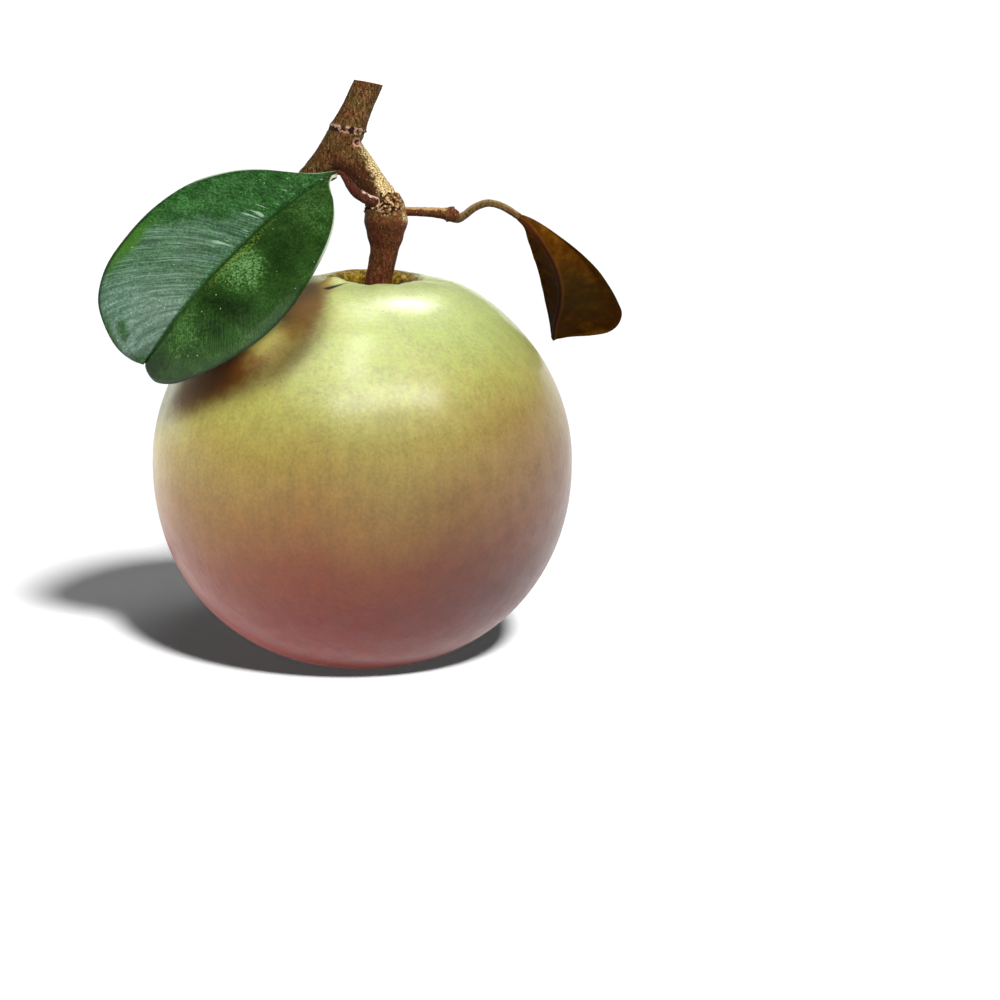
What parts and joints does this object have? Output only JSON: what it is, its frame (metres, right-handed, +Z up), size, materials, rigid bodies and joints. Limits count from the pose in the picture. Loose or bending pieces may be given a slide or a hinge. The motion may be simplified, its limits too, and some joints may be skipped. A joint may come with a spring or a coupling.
{
  "type": "star apple",
  "caption": "Whole star apple with its woody stalk, the cut piece of branch it hung from and its leaves; a round fruit that stands on a small flat spot of its own.",
  "frame": {"origin": "centre of the small flat spot that the fruit rests on", "axes": "+Z up the fruit's core; +X to the right and +Y to the back, seen from the side of the larger leaf"},
  "size_m": [0.0979, 0.08, 0.1111],
  "materials": {
    "fruit_skin": "satin",
    "dried_calyx": "matte",
    "stalk_bark": "matte",
    "branch_bark": "matte",
    "twig_bark": "matte",
    "green_leaf": "gloss",
    "copper_leaf": "satin"
  },
  "bodies": {
    "root": {"fruit": "fruit_skin", "calyx": "dried_calyx", "fruit_stalk": "stalk_bark", "branch": "branch_bark", "leaf_spur": "twig_bark", "left_leaf": "green_leaf", "right_leaf": "copper_leaf"}
  },
  "joints": []
}
